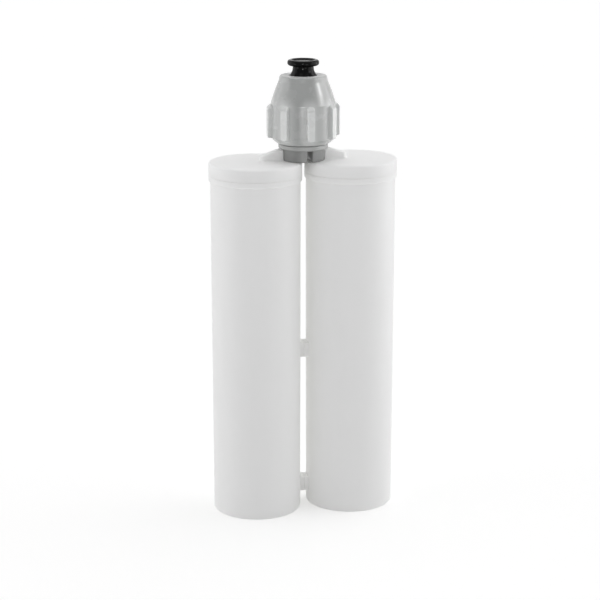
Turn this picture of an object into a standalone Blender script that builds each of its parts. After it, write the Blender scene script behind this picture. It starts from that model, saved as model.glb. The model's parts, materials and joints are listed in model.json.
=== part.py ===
"""Dual cartridge: two equal barrels that feed one outlet, closed by a plug under a screwed nut.

Metres, +Z up. The cartridge stands on the open rear ends of its barrels, with the origin on the
floor midway between them. The barrels lie along X, and the outlet is on the Z axis.
"""

import math

import bmesh
import bpy
from mathutils import Matrix

# Gap between pieces that touch, seat or slide on each other
FIT = 0.0003

# Barrels
BARREL_RADIUS = 0.0220  # outside, at the lip
BARREL_DRAFT = 0.0002  # the foot is this much smaller in radius
BARREL_WALL = 0.0017
BARREL_LENGTH = 0.1729
BARREL_GAP = 0.0037  # between the two barrels
FOOT_CHAMFER = 0.0006
RIM_PROUD = 0.00075  # lip and head stand out from the barrel by this
LIP_HEIGHT = 0.0024
LIP_SLOPE = 0.0004  # height of the slope under the lip
SEAM_HEIGHT = 0.0004  # open line between the lip and the head's skirt

# Lugs that tie the barrels together across the gap
LUG_HEIGHT = 0.0073
LUG_WIDTH = 0.0070  # along Y
LUG_LOWER_CENTRE = 0.0104  # above the floor
LUG_UPPER_CENTRE = 0.0814
LUG_ROOT = 0.0009  # how deep a lug is rooted in the barrel wall
LUG_CHEEK = 0.0010  # wall on each side of the groove
LUG_BACK = 0.0004  # wall behind the groove

# Heads
HEAD_THICKNESS = 0.0040
HEAD_ROUND = 0.0010  # rounding of the top edge
SKIRT_DEPTH = 0.0022
SKIRT_WALL = 0.0013
SOCKET_DEPTH = 0.0028
FAIRING_HALF_WIDTH = 0.0020
FAIRING_REACH = 0.0215  # from the outlet's axis
FAIRING_END_HEIGHT = 0.0027
FAIRING_ROUND = 0.0012
FAIRING_ROOT = 0.0015  # how deep the fairing is rooted in the head

# Outlet neck
CHANNEL_RADIUS = 0.0025
CHANNEL_LEDGE = 0.00035  # between the barrel's bore and the channel
LEG_WALL = 0.0016
LEG_HEIGHT = 0.0060
SLOT_WIDTH = 0.0025  # gap between the two legs
SLOT_OFFSET = 0.0010  # the gap lies off centre, which keys the outlet
SLOT_ROOF = 0.0004  # the gap stops this far below the collar
SPIGOT_WALL = 0.0011
COLLAR_PROUD = 0.0016  # beyond the legs
COLLAR_HEIGHT = 0.0014
COLLAR_ROUND = 0.0004
NOSE_PROUD = 0.0007  # thread root beyond the legs
NOSE_LENGTH = 0.0168
NOSE_CHAMFER = 0.0008

# Thread, with a round ridge on the nose and another inside the nut
THREAD_PITCH = 0.0040
RIDGE_RADIUS = 0.0010
NOSE_RIDGE_START = 0.0012  # above the collar
NOSE_RIDGE_STOP = 0.0026  # below the nose's top
RIDGE_FADE_TURN = 0.2  # each end of a ridge runs out over this share of a turn
RIDGE_END_SCALE = 0.45

# Port seals
SEAL_THICKNESS = 0.0010

# Retaining nut
NUT_FLOAT = 0.0012  # between the collar and the nut
NUT_HEIGHT = 0.0327
NUT_WALL = 0.00325
NUT_FOOT_WALL = 0.0004  # wall at the lower edge, inside the slope
NUT_FOOT_SLOPE = 0.0027  # height of the slope at the lower edge
NUT_FOOT_BULGE = 0.0003  # the slope swells by this at mid height
NUT_CONE_START = 0.0194  # above the nut's lower end
NUT_CONE_END = 0.0301
NUT_CONE_TAPER = 0.00385  # the radius lost over the cone
NUT_CONE_BULGE = 0.00020  # the cone swells by this at mid height
NUT_CONE_WALL = 0.0030
NUT_TOP_TAPER = 0.0005  # the radius lost between the cone and the top's rounding
NUT_TOP_ROUND = 0.0010
NUT_ROOF = 0.0030
RIB_COUNT = 8
RIB_PROUD = 0.00225
RIB_WIDTH = 0.0041
RIB_FOOT = 0.0031  # above the nut's lower end, at full depth
RIB_LENGTH = 0.0144
RIB_FOOT_SLOPE = 0.0003  # height of the run-in below
RIB_TOP_SLOPE = 0.0019  # height of the run-out above
RIB_ROOT = 0.0014  # how deep a rib is rooted in the nut's wall
RIB_ROUND = 0.0008

# Closing plug
FLANGE_THICKNESS = 0.0020
CORE_SHOULDER = 0.0017  # the core stands out from the shaft by this, under the nut's roof
SHAFT_RADIUS = 0.0065
WAIST_RADIUS = 0.0051
WAIST_HEIGHT = 0.0034  # above the nut
FLARE_HEIGHT = 0.0020  # above the nut, where the waist starts to flare
FLARE_PROUD = 0.00025  # beyond the waist, at that height
KNOB_RADIUS = 0.0077
KNOB_UNDERSIDE = 0.0048  # above the nut
KNOB_THICKNESS = 0.0026
KNOB_ROUND = 0.0012
KNOB_DISH_RADIUS = 0.0052
KNOB_DISH_DEPTH = 0.0006
PRONG_LENGTH = 0.0090
PRONG_TIP = 0.0008  # chamfer at the prong's end

# Pistons, at their filled position
PISTON_LENGTH = 0.0140
PISTON_SETBACK = 0.0040  # from the barrel's foot
PISTON_WALL = 0.0034
PISTON_FACE = 0.0030  # thickness of the front wall
PISTON_CHAMFER = 0.0008
RING_SECTION = 0.0008  # radius of the seal ring's section
RING_SETBACK = 0.0030  # ring groove's centre below the front face

# Vent pins
VENT_RADIUS = 0.0020  # the hole through the piston
VENT_BOSS_WALL = 0.0040
VENT_BOSS_LENGTH = 0.0040
VENT_TRAVEL = 0.0020
PIN_HEAD_RADIUS = 0.0032
PIN_HEAD_THICKNESS = 0.0012
PIN_COLLAR_PROUD = 0.0009
PIN_COLLAR_THICKNESS = 0.0010

# Facets
TURN_STEPS = 40
SMALL_STEPS = 24
HELIX_STEPS = 24
ROUND_STEPS = 3
EDGE_STEPS = 2
RING_SIDES = 6
MERGE = 0.00001
FLAT_ANGLE = math.radians(0.5)  # faces closer than this to one plane become one face

# Derived radii
BORE_RADIUS = BARREL_RADIUS - BARREL_WALL
RIM_RADIUS = BARREL_RADIUS + RIM_PROUD
AXIS_OFFSET = BARREL_RADIUS + BARREL_GAP / 2
MOUTH_RADIUS = RIM_RADIUS - SKIRT_WALL - FIT
CHANNEL_OFFSET = AXIS_OFFSET - BORE_RADIUS + CHANNEL_LEDGE + CHANNEL_RADIUS
LEG_RADIUS = CHANNEL_OFFSET + CHANNEL_RADIUS + LEG_WALL
SPIGOT_RADIUS = CHANNEL_RADIUS + SPIGOT_WALL
SOCKET_RADIUS = SPIGOT_RADIUS + FIT
COLLAR_RADIUS = LEG_RADIUS + COLLAR_PROUD
NOSE_RADIUS = LEG_RADIUS + NOSE_PROUD
NUT_BORE_RADIUS = NOSE_RADIUS + RIDGE_RADIUS + FIT
NUT_RADIUS = NUT_BORE_RADIUS + NUT_WALL
NUT_HOLE_RADIUS = SHAFT_RADIUS + FIT
PISTON_RADIUS = BORE_RADIUS - FIT

# Derived heights
HEAD_UNDERSIDE = BARREL_LENGTH + FIT
HEAD_TOP = HEAD_UNDERSIDE + HEAD_THICKNESS
SKIRT_FOOT = HEAD_UNDERSIDE - SKIRT_DEPTH
SOCKET_FLOOR = HEAD_TOP - SOCKET_DEPTH
SEAL_FOOT = SOCKET_FLOOR + FIT
SPIGOT_FOOT = SEAL_FOOT + SEAL_THICKNESS + FIT
LEG_FOOT = HEAD_TOP + FIT
COLLAR_FOOT = HEAD_TOP + LEG_HEIGHT
COLLAR_TOP = COLLAR_FOOT + COLLAR_HEIGHT
NOSE_TOP = COLLAR_TOP + NOSE_LENGTH
NOSE_RIDGE_FOOT = COLLAR_TOP + NOSE_RIDGE_START
NUT_FOOT = COLLAR_TOP + NUT_FLOAT
NUT_TOP = NUT_FOOT + NUT_HEIGHT
ROOF_UNDERSIDE = NUT_TOP - NUT_ROOF
FLANGE_FOOT = NOSE_TOP + FIT
PISTON_FRONT = PISTON_SETBACK + PISTON_LENGTH
PISTON_CEILING = PISTON_FRONT - PISTON_FACE
VENT_POCKET_DEPTH = PIN_HEAD_THICKNESS + VENT_TRAVEL + 2 * FIT
VENT_POCKET_FLOOR = PISTON_FRONT - VENT_POCKET_DEPTH
VENT_BOSS_FOOT = PISTON_CEILING - VENT_BOSS_LENGTH


def clear_scene():
    for obj in list(bpy.data.objects):
        bpy.data.objects.remove(obj, do_unlink=True)


def new_collection(name):
    collection = bpy.data.collections.new(name)
    bpy.context.scene.collection.children.link(collection)
    return collection


def plastic(name, colour, roughness):
    """A plain plastic or rubber."""
    material = bpy.data.materials.new(name)
    material.use_nodes = True
    shader = material.node_tree.nodes["Principled BSDF"]
    shader.inputs["Base Color"].default_value = (*colour, 1.0)
    shader.inputs["Roughness"].default_value = roughness
    shader.inputs["Metallic"].default_value = 0.0
    return material


def place(name, mesh, collection, parent=None):
    obj = bpy.data.objects.new(name, mesh)
    collection.objects.link(obj)
    obj.parent = parent
    return obj


def finish_part(obj, material):
    obj.data.materials.append(material)
    return obj


def as_tool(obj):
    """Marks a helper that cuts or joins a part and isn't a part itself."""
    obj.hide_render = True
    obj.display_type = "WIRE"
    return obj


def combine(target, tool, operation):
    modifier = target.modifiers.new(tool.name, "BOOLEAN")
    modifier.operation = operation
    modifier.solver = "EXACT"
    modifier.object = tool


def arc(centre_radius, centre_height, size, start, end, steps=ROUND_STEPS):
    """Points on an arc of a profile. Angles are degrees from the outward radius, up positive."""
    angles = [math.radians(start + (end - start) * step / steps) for step in range(steps + 1)]
    return [
        (centre_radius + size * math.cos(angle), centre_height + size * math.sin(angle))
        for angle in angles
    ]


def turned(name, profile, collection, parent=None, ring=False, steps=TURN_STEPS):
    """A turned solid from (radius, height) points that run down its outer side.

    A ring's profile closes on itself; any other starts and ends on the axis.
    """
    mesh = bpy.data.meshes.new(name)
    points = [(radius, 0.0, height) for radius, height in profile]
    edges = [(index, index + 1) for index in range(len(points) - 1)]
    if ring:
        edges.append((len(points) - 1, 0))
    mesh.from_pydata(points, edges, [])
    obj = place(name, mesh, collection, parent)
    screw = obj.modifiers.new("turn", "SCREW")
    screw.axis = "Z"
    screw.angle = 2 * math.pi
    screw.steps = steps
    screw.render_steps = steps
    screw.use_smooth_shade = True
    screw.use_merge_vertices = True
    screw.merge_threshold = MERGE
    return obj


def merge_flats(obj):
    """Joins the wedges of a turned solid's flat faces into one face each."""
    flats = obj.modifiers.new("flats", "DECIMATE")
    flats.decimate_type = "DISSOLVE"
    flats.angle_limit = FLAT_ANGLE
    return obj


def post(name, radius, foot, top, offset, parent=None, tip=0.0):
    """A round helper standing at X = offset, with its lower end chamfered by tip."""
    mesh = bpy.data.meshes.new(name)
    form = bmesh.new()
    middle = Matrix.Translation((offset, 0.0, (foot + top) / 2))
    bmesh.ops.create_cone(
        form,
        cap_ends=True,
        segments=SMALL_STEPS,
        radius1=radius,
        radius2=radius,
        depth=top - foot,
        matrix=middle,
    )
    if tip:
        lower = [edge for edge in form.edges if all(v.co.z < foot + MERGE for v in edge.verts)]
        bmesh.ops.bevel(form, geom=lower, offset=tip, segments=1, affect="EDGES")
    form.to_mesh(mesh)
    form.free()
    return as_tool(place(name, mesh, TOOLS, parent))


def blocks(name, boxes, parent=None):
    """Helper boxes that don't touch each other, each given as ((x0, x1), (y0, y1), (z0, z1))."""
    mesh = bpy.data.meshes.new(name)
    form = bmesh.new()
    for box in boxes:
        centre = [(low + high) / 2 for low, high in box]
        size = [high - low for low, high in box]
        matrix = Matrix.Translation(centre) @ Matrix.Diagonal((*size, 1.0))
        bmesh.ops.create_cube(form, size=1.0, matrix=matrix)
    form.to_mesh(mesh)
    form.free()
    return as_tool(place(name, mesh, TOOLS, parent))


def mesh_from_curve(name, curve):
    """The curve's solid as a mesh with its caps welded on."""
    guide = place(name + "_guide", curve, TOOLS)
    graph = bpy.context.evaluated_depsgraph_get()
    mesh = bpy.data.meshes.new_from_object(guide.evaluated_get(graph))
    bpy.data.objects.remove(guide, do_unlink=True)
    form = bmesh.new()
    form.from_mesh(mesh)
    bmesh.ops.remove_doubles(form, verts=form.verts, dist=MERGE / 10)
    bmesh.ops.recalc_face_normals(form, faces=form.faces)
    form.to_mesh(mesh)
    form.free()
    mesh.name = name
    return mesh


def upright_plate(name, outline, half_thickness):
    """A plate in the XZ plane, from (x, z) points, with its thickness along Y."""
    curve = bpy.data.curves.new(name, "CURVE")
    curve.dimensions = "2D"
    curve.fill_mode = "BOTH"
    curve.extrude = half_thickness
    spline = curve.splines.new("POLY")
    spline.points.add(len(outline) - 1)
    for point, (x, z) in zip(spline.points, outline):
        point.co = (x, z, 0.0, 1.0)
    spline.use_cyclic_u = True
    mesh = mesh_from_curve(name, curve)
    mesh.transform(Matrix.Rotation(math.pi / 2, 4, "X"))
    return mesh


def thread_ridge(name, radius, foot, top):
    """A right-handed round ridge, centred on the radius, that runs out at both ends."""
    curve = bpy.data.curves.new(name, "CURVE")
    curve.dimensions = "3D"
    curve.twist_mode = "Z_UP"
    curve.bevel_depth = RIDGE_RADIUS
    curve.bevel_resolution = 1
    curve.use_fill_caps = True
    spline = curve.splines.new("POLY")
    last = math.floor(HELIX_STEPS * (top - foot) / THREAD_PITCH)
    spline.points.add(last)
    for index, point in enumerate(spline.points):
        turn = index / HELIX_STEPS
        angle = 2 * math.pi * turn
        height = foot + THREAD_PITCH * turn
        point.co = (radius * math.cos(angle), radius * math.sin(angle), height, 1.0)
        to_end = min(index, last - index) / HELIX_STEPS
        share = min(to_end / RIDGE_FADE_TURN, 1.0)
        point.radius = RIDGE_END_SCALE + (1.0 - RIDGE_END_SCALE) * share
    return as_tool(place(name, mesh_from_curve(name, curve), TOOLS))


def round_edges(obj, size):
    bevel = obj.modifiers.new("round", "BEVEL")
    bevel.width = size
    bevel.segments = EDGE_STEPS
    bevel.limit_method = "ANGLE"
    bevel.use_clamp_overlap = True


def make_lugs(side, axis):
    """Lugs on the side that faces the other barrel, with a tongue on one half and a groove on the other.

    Both barrels are the same moulding. Turned half round, each one's tongue enters the other's groove.
    """
    face = -AXIS_OFFSET + FIT / 2
    root = -BARREL_RADIUS + LUG_ROOT
    groove_width = LUG_WIDTH / 2 - 2 * LUG_CHEEK
    groove_depth = BARREL_GAP / 2 - FIT / 2 - LUG_BACK
    tongue_width = groove_width - 2 * FIT
    tongue_length = groove_depth + FIT / 2 - FIT
    middle = LUG_WIDTH / 4
    bodies = []
    tongues = []
    grooves = []
    for centre in (LUG_LOWER_CENTRE, LUG_UPPER_CENTRE):
        foot = centre - LUG_HEIGHT / 2
        top = centre + LUG_HEIGHT / 2
        bodies.append(((face, root), (-LUG_WIDTH / 2, LUG_WIDTH / 2), (foot, top)))
        tongue_y = (middle - tongue_width / 2, middle + tongue_width / 2)
        tongues.append(((-AXIS_OFFSET - tongue_length, face + FIT), tongue_y, (foot + FIT, top - FIT)))
        groove_y = (-middle - groove_width / 2, -middle + groove_width / 2)
        grooves.append(((face - FIT, face + groove_depth), groove_y, (foot - FIT, top + FIT)))
    return (
        blocks("lugs_" + side, bodies, axis),
        blocks("tongues_" + side, tongues, axis),
        blocks("grooves_" + side, grooves, axis),
    )


def make_barrel(side, axis):
    lip_top = SKIRT_FOOT - SEAM_HEIGHT
    lip_foot = lip_top - LIP_HEIGHT
    foot_radius = BARREL_RADIUS - BARREL_DRAFT
    profile = [
        (BORE_RADIUS, BARREL_LENGTH),
        (MOUTH_RADIUS, BARREL_LENGTH),
        (MOUTH_RADIUS, lip_top),
        (RIM_RADIUS, lip_top),
        (RIM_RADIUS, lip_foot),
        (BARREL_RADIUS, lip_foot - LIP_SLOPE),
        (foot_radius, FOOT_CHAMFER),
        (foot_radius - FOOT_CHAMFER, 0.0),
        (BORE_RADIUS, 0.0),
    ]
    barrel = turned("barrel_" + side, profile, PARTS, axis, ring=True)
    bodies, tongues, grooves = make_lugs(side, axis)
    combine(barrel, bodies, "UNION")
    combine(barrel, tongues, "UNION")
    combine(barrel, grooves, "DIFFERENCE")
    return finish_part(barrel, WHITE)


def make_fairing(side, axis):
    """The raised rib that runs from the head up to the collar, hollowed to clear the neck."""
    crest = COLLAR_FOOT - FIT
    base = HEAD_TOP - FAIRING_ROOT
    inner = LEG_RADIUS - FAIRING_ROUND
    outline = [
        (inner - AXIS_OFFSET, base),
        (FAIRING_REACH - AXIS_OFFSET, base),
        (FAIRING_REACH - AXIS_OFFSET, HEAD_TOP + FAIRING_END_HEIGHT),
        (COLLAR_RADIUS + FIT - AXIS_OFFSET, crest),
        (inner - AXIS_OFFSET, crest),
    ]
    mesh = upright_plate("fairing_" + side, outline, FAIRING_HALF_WIDTH)
    fairing = as_tool(place("fairing_" + side, mesh, TOOLS, axis))
    round_edges(fairing, FAIRING_ROUND)
    room = LEG_RADIUS + FIT
    cutter = post("neck_room_" + side, room, base - FIT, COLLAR_TOP, -AXIS_OFFSET, axis)
    combine(fairing, cutter, "DIFFERENCE")
    return fairing


def make_head(side, axis):
    skirt_radius = MOUTH_RADIUS + FIT
    profile = [(0.0, HEAD_TOP)]
    profile += arc(RIM_RADIUS - HEAD_ROUND, HEAD_TOP - HEAD_ROUND, HEAD_ROUND, 90, 0)
    profile += [
        (RIM_RADIUS, SKIRT_FOOT),
        (skirt_radius, SKIRT_FOOT),
        (skirt_radius, HEAD_UNDERSIDE),
        (0.0, HEAD_UNDERSIDE),
    ]
    head = merge_flats(turned("head_" + side, profile, PARTS, axis))
    combine(head, make_fairing(side, axis), "UNION")
    offset = CHANNEL_OFFSET - AXIS_OFFSET
    over = HEAD_TOP + FIT
    under = HEAD_UNDERSIDE - FIT
    socket = post("socket_" + side, SOCKET_RADIUS, SOCKET_FLOOR, over, offset, axis)
    port = post("port_" + side, CHANNEL_RADIUS, under, over, offset, axis)
    combine(head, socket, "DIFFERENCE")
    combine(head, port, "DIFFERENCE")
    return finish_part(head, WHITE)


def make_port_seal(side, seat):
    inner = CHANNEL_RADIUS
    outer = SPIGOT_RADIUS
    top = SEAL_FOOT + SEAL_THICKNESS
    profile = [(inner, top), (outer, top), (outer, SEAL_FOOT), (inner, SEAL_FOOT)]
    seal = turned("port_seal_" + side, profile, PARTS, seat, ring=True, steps=SMALL_STEPS)
    return finish_part(seal, RUBBER)


def make_neck():
    profile = [
        (0.0, NOSE_TOP),
        (NOSE_RADIUS - NOSE_CHAMFER, NOSE_TOP),
        (NOSE_RADIUS, NOSE_TOP - NOSE_CHAMFER),
        (NOSE_RADIUS, COLLAR_TOP),
    ]
    inset = COLLAR_RADIUS - COLLAR_ROUND
    profile += arc(inset, COLLAR_TOP - COLLAR_ROUND, COLLAR_ROUND, 90, 0)
    profile += arc(inset, COLLAR_FOOT + COLLAR_ROUND, COLLAR_ROUND, 0, -90)
    profile += [(LEG_RADIUS, COLLAR_FOOT), (LEG_RADIUS, LEG_FOOT), (0.0, LEG_FOOT)]
    neck = turned("neck", profile, PARTS)
    ridge = thread_ridge("nose_ridge", NOSE_RADIUS, NOSE_RIDGE_FOOT, NOSE_TOP - NOSE_RIDGE_STOP)
    combine(neck, ridge, "UNION")
    slot_x = (SLOT_OFFSET - SLOT_WIDTH / 2, SLOT_OFFSET + SLOT_WIDTH / 2)
    slot_y = (-COLLAR_RADIUS, COLLAR_RADIUS)
    slot = blocks("leg_slot", [(slot_x, slot_y, (LEG_FOOT - FIT, COLLAR_FOOT - SLOT_ROOF))])
    combine(neck, slot, "DIFFERENCE")
    for side, offset in (("left", -CHANNEL_OFFSET), ("right", CHANNEL_OFFSET)):
        spigot = post("spigot_" + side, SPIGOT_RADIUS, SPIGOT_FOOT, LEG_FOOT + SPIGOT_WALL, offset)
        combine(neck, spigot, "UNION")
        low = SPIGOT_FOOT - FIT
        channel = post("channel_" + side, CHANNEL_RADIUS, low, NOSE_TOP + FIT, offset)
        combine(neck, channel, "DIFFERENCE")
    return finish_part(neck, GREY)


def nut_outside():
    """The nut's outer profile, from the top down to its lower edge."""
    cone_foot = NUT_FOOT + NUT_CONE_START
    cone_top = NUT_FOOT + NUT_CONE_END
    cone_radius = NUT_RADIUS - NUT_CONE_TAPER
    mid_radius = NUT_RADIUS - NUT_CONE_TAPER / 2 + NUT_CONE_BULGE
    top_radius = cone_radius - NUT_TOP_TAPER
    foot_radius = NUT_BORE_RADIUS + NUT_FOOT_WALL
    slope_radius = (NUT_RADIUS + foot_radius) / 2 + NUT_FOOT_BULGE
    profile = arc(top_radius - NUT_TOP_ROUND, NUT_TOP - NUT_TOP_ROUND, NUT_TOP_ROUND, 90, 0)
    profile += [
        (cone_radius, cone_top),
        (mid_radius, (cone_foot + cone_top) / 2),
        (NUT_RADIUS, cone_foot),
        (NUT_RADIUS, NUT_FOOT + NUT_FOOT_SLOPE),
        (slope_radius, NUT_FOOT + NUT_FOOT_SLOPE / 2),
        (foot_radius, NUT_FOOT),
    ]
    return profile


def make_ribs():
    foot = NUT_FOOT + RIB_FOOT
    top = foot + RIB_LENGTH
    inner = NUT_RADIUS - RIB_ROOT
    outer = NUT_RADIUS + RIB_PROUD
    reach = (RIB_PROUD + RIB_ROOT) / RIB_PROUD
    outline = [
        (inner, foot - RIB_FOOT_SLOPE * reach),
        (outer, foot),
        (outer, top),
        (inner, top + RIB_TOP_SLOPE * reach),
    ]
    rib = upright_plate("rib", outline, RIB_WIDTH / 2)
    form = bmesh.new()
    for index in range(RIB_COUNT):
        copy = rib.copy()
        copy.transform(Matrix.Rotation(2 * math.pi * index / RIB_COUNT, 4, "Z"))
        form.from_mesh(copy)
    mesh = bpy.data.meshes.new("ribs")
    form.to_mesh(mesh)
    form.free()
    ribs = as_tool(place("ribs", mesh, TOOLS))
    round_edges(ribs, RIB_ROUND)
    return ribs


def make_nut():
    roof_radius = NUT_RADIUS - NUT_CONE_TAPER - NUT_CONE_WALL
    profile = [(NUT_HOLE_RADIUS, NUT_TOP)]
    profile += nut_outside()
    profile += [
        (NUT_BORE_RADIUS, NUT_FOOT),
        (NUT_BORE_RADIUS, NUT_FOOT + NUT_CONE_START),
        (roof_radius, ROOF_UNDERSIDE),
        (NUT_HOLE_RADIUS, ROOF_UNDERSIDE),
    ]
    nut = turned("retaining_nut", profile, PARTS, ring=True)
    combine(nut, make_ribs(), "UNION")
    ridge_foot = NOSE_RIDGE_FOOT + THREAD_PITCH / 2
    ridge_top = FLANGE_FOOT - FIT - RIDGE_RADIUS
    ridge = thread_ridge("nut_ridge", NUT_BORE_RADIUS, ridge_foot, ridge_top)
    combine(nut, ridge, "UNION")
    return finish_part(nut, GREY_GLOSS)


def make_plug():
    core_radius = SHAFT_RADIUS + CORE_SHOULDER
    flange_radius = NUT_BORE_RADIUS - FIT
    flange_top = FLANGE_FOOT + FLANGE_THICKNESS
    knob_foot = NUT_TOP + KNOB_UNDERSIDE
    knob_top = knob_foot + KNOB_THICKNESS
    edge = KNOB_RADIUS - KNOB_ROUND
    profile = [(0.0, knob_top - KNOB_DISH_DEPTH), (KNOB_DISH_RADIUS, knob_top - KNOB_DISH_DEPTH)]
    profile += [(KNOB_DISH_RADIUS + KNOB_DISH_DEPTH, knob_top)]
    profile += arc(edge, knob_top - KNOB_ROUND, KNOB_ROUND, 90, 0)
    profile += arc(edge, knob_foot + KNOB_ROUND, KNOB_ROUND, 0, -90)
    profile += [
        (WAIST_RADIUS, NUT_TOP + WAIST_HEIGHT),
        (WAIST_RADIUS + FLARE_PROUD, NUT_TOP + FLARE_HEIGHT),
        (SHAFT_RADIUS, NUT_TOP),
        (SHAFT_RADIUS, ROOF_UNDERSIDE - FIT),
        (core_radius, ROOF_UNDERSIDE - FIT),
        (core_radius, flange_top),
        (flange_radius, flange_top),
        (flange_radius, FLANGE_FOOT),
        (0.0, FLANGE_FOOT),
    ]
    plug = turned("plug", profile, PARTS)
    radius = CHANNEL_RADIUS - FIT
    root = FLANGE_FOOT + FLANGE_THICKNESS / 2
    tip = FLANGE_FOOT - PRONG_LENGTH
    for side, offset in (("left", -CHANNEL_OFFSET), ("right", CHANNEL_OFFSET)):
        prong = post("prong_" + side, radius, tip, root, offset, tip=PRONG_TIP)
        combine(plug, prong, "UNION")
    return finish_part(plug, BLACK)


def make_piston(side, axis):
    groove_radius = BORE_RADIUS - 2 * FIT - 2 * RING_SECTION
    groove_half = RING_SECTION + FIT
    groove_centre = PISTON_FRONT - RING_SETBACK
    pocket_radius = PIN_HEAD_RADIUS + FIT
    boss_radius = VENT_RADIUS + VENT_BOSS_WALL
    cup_radius = PISTON_RADIUS - PISTON_WALL
    profile = [
        (pocket_radius, PISTON_FRONT),
        (PISTON_RADIUS - PISTON_CHAMFER, PISTON_FRONT),
        (PISTON_RADIUS, PISTON_FRONT - PISTON_CHAMFER),
        (PISTON_RADIUS, groove_centre + groove_half),
        (groove_radius, groove_centre + groove_half),
        (groove_radius, groove_centre - groove_half),
        (PISTON_RADIUS, groove_centre - groove_half),
        (PISTON_RADIUS, PISTON_SETBACK),
        (cup_radius, PISTON_SETBACK),
        (cup_radius, PISTON_CEILING),
        (boss_radius, PISTON_CEILING),
        (boss_radius, VENT_BOSS_FOOT),
        (VENT_RADIUS, VENT_BOSS_FOOT),
        (VENT_RADIUS, VENT_POCKET_FLOOR),
        (pocket_radius, VENT_POCKET_FLOOR),
    ]
    piston = turned("piston_" + side, profile, PARTS, axis, ring=True)
    return finish_part(piston, NATURAL)


def make_piston_ring(side, axis):
    centre_radius = BORE_RADIUS - FIT - RING_SECTION
    height = PISTON_FRONT - RING_SETBACK
    section = arc(centre_radius, height, RING_SECTION, 180, -180, RING_SIDES)[:-1]
    ring = turned("piston_ring_" + side, section, PARTS, axis, ring=True)
    return finish_part(ring, RUBBER)


def make_vent_pin(side, axis):
    head_foot = VENT_POCKET_FLOOR + FIT
    head_top = head_foot + PIN_HEAD_THICKNESS
    stem_radius = VENT_RADIUS - FIT
    collar_radius = VENT_RADIUS + PIN_COLLAR_PROUD
    collar_top = VENT_BOSS_FOOT - FIT - VENT_TRAVEL
    collar_foot = collar_top - PIN_COLLAR_THICKNESS
    profile = [
        (0.0, head_top),
        (PIN_HEAD_RADIUS, head_top),
        (PIN_HEAD_RADIUS, head_foot),
        (stem_radius, head_foot),
        (stem_radius, collar_top),
        (collar_radius, collar_top),
        (stem_radius, collar_foot),
        (0.0, collar_foot),
    ]
    pin = turned("vent_pin_" + side, profile, PARTS, axis, steps=SMALL_STEPS)
    return finish_part(pin, NATURAL)


def make_side(side, turn):
    """One barrel with what it holds. The left side is the right side turned half round."""
    axis = place("axis_" + side, None, PARTS)
    axis.rotation_euler = (0.0, 0.0, turn)
    axis.location = (AXIS_OFFSET * math.cos(turn), 0.0, 0.0)
    seat = place("outlet_seat_" + side, None, PARTS, axis)
    seat.location = (CHANNEL_OFFSET - AXIS_OFFSET, 0.0, 0.0)
    make_barrel(side, axis)
    make_head(side, axis)
    make_port_seal(side, seat)
    make_piston(side, axis)
    make_piston_ring(side, axis)
    make_vent_pin(side, axis)


clear_scene()
PARTS = new_collection("dual_cartridge")
TOOLS = new_collection("cutters")
WHITE = plastic("white_translucent", (0.83, 0.83, 0.82), 0.35)
NATURAL = plastic("natural_plastic", (0.78, 0.78, 0.75), 0.45)
GREY = plastic("grey_plastic", (0.30, 0.31, 0.31), 0.40)
GREY_GLOSS = plastic("grey_gloss", (0.42, 0.43, 0.43), 0.22)
BLACK = plastic("black_plastic", (0.012, 0.012, 0.013), 0.25)
RUBBER = plastic("seal_rubber", (0.02, 0.02, 0.02), 0.60)
make_side("left", math.pi)
make_side("right", 0.0)
make_neck()
make_nut()
make_plug()
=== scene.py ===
# %% [markdown]
# # A dual cartridge, dressed
# Two white barrels stand side by side and feed one grey outlet, which a black plug closes under a ribbed
# nut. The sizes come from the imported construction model, which this script loads as a fixed frame. Each
# piece below is a finer surface that takes the place of one plain solid, and gets its finish.

import json
import math

import bmesh
import bpy
import numpy as np
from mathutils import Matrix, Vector

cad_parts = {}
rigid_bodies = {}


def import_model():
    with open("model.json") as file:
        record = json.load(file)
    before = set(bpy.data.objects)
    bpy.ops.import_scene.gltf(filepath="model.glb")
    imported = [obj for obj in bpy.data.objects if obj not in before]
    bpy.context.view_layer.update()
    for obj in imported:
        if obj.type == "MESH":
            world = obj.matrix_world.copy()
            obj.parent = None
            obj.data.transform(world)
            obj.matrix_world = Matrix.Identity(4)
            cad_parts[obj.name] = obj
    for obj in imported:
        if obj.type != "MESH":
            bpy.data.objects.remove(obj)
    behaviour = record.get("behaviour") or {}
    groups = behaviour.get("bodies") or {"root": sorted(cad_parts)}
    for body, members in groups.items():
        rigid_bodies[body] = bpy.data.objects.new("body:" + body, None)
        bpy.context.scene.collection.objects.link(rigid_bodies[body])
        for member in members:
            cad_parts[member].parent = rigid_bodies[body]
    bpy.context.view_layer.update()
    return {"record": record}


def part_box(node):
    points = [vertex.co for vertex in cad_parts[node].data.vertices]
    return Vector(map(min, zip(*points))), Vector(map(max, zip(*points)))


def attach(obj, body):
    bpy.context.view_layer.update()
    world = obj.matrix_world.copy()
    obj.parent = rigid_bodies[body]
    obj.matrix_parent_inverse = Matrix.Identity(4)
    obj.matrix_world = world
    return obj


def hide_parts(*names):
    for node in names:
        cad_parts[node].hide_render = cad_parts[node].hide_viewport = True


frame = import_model()
record = frame["record"]
body_of = {node: body for body, nodes in record["behaviour"]["bodies"].items() for node in nodes}
mounts = {mount["name"]: mount["pos_m"] for mount in record["mounts"]}

# %% [markdown]
# ## Sizes that several pieces share
# A moulded assembly is a chain of fits: the piston fits the bore, the head the barrel, and the plug the
# nut. The boxes of the solids give the main sizes, and the play between two pieces that slide is one named
# value. Pieces that are pressed together keep only a hairline between them. No moulded edge is sharp, so a
# few roundings are shared too, from the tight seam under a head to the blunt edges of the grey pieces.

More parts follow.
